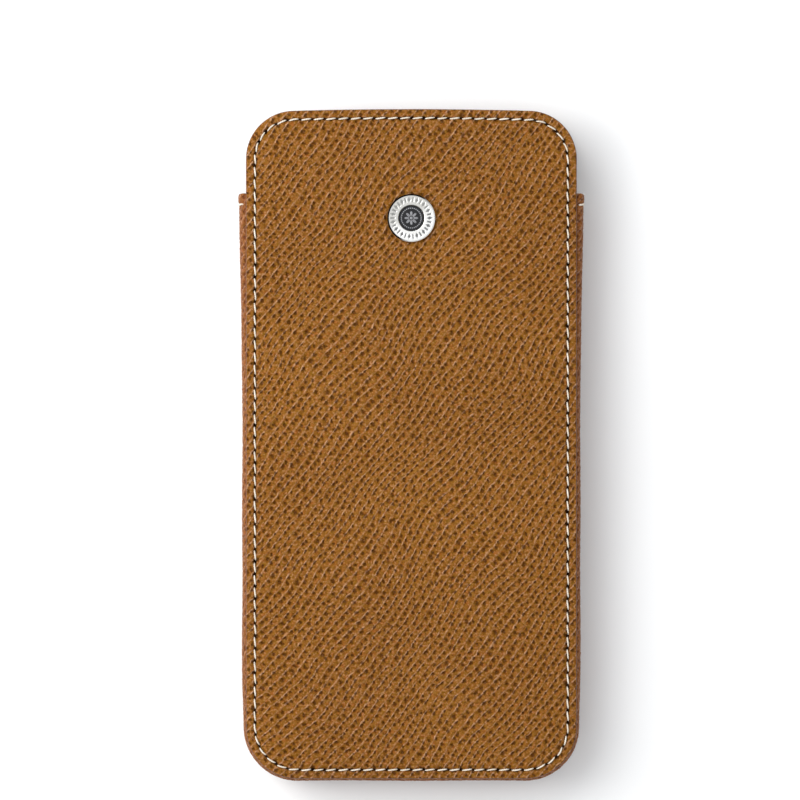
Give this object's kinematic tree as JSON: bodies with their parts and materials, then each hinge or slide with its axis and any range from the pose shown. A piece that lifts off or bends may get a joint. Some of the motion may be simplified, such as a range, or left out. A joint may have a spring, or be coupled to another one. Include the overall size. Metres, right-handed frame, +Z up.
{
  "type": "slip case",
  "caption": "Flat stitched leather slip case with a gusset round three sides, open at one end, and a round metal medallion on its front panel.",
  "frame": {"origin": "bottom centre of the bounding box: on the face that the case lies on, under its middle", "axes": "+Z up through the front panel, +Y out of the mouth, +X to the right when the front is seen with the mouth at the top"},
  "size_m": [0.0744, 0.144, 0.0133],
  "materials": {
    "grained_leather": "embossed tan calf leather, satin",
    "gusset_leather": "embossed tan calf leather, satin, pared thin",
    "suede_lining": "thin suede split, glued down",
    "board": "bonded leather-fibre board",
    "linen_thread": "waxed linen thread, natural white",
    "silver_plate": "polished silver plate",
    "dark_enamel": "dark oxidised relief",
    "rivet_brass": "plain brass"
  },
  "bodies": {
    "root": {"front_leather": "grained_leather", "back_leather": "grained_leather", "gusset_leather": "gusset_leather", "front_board": "board", "back_board": "board", "front_lining": "suede_lining", "back_lining": "suede_lining", "gusset_lining": "suede_lining", "front_needle_thread": "linen_thread", "front_bobbin_thread": "linen_thread", "back_needle_thread": "linen_thread", "back_bobbin_thread": "linen_thread", "right_hem_thread": "linen_thread", "left_hem_thread": "linen_thread", "medallion_ring": "silver_plate", "medallion_inlay": "dark_enamel", "medallion_rivet": "rivet_brass", "medallion_washer": "rivet_brass"}
  },
  "joints": []
}
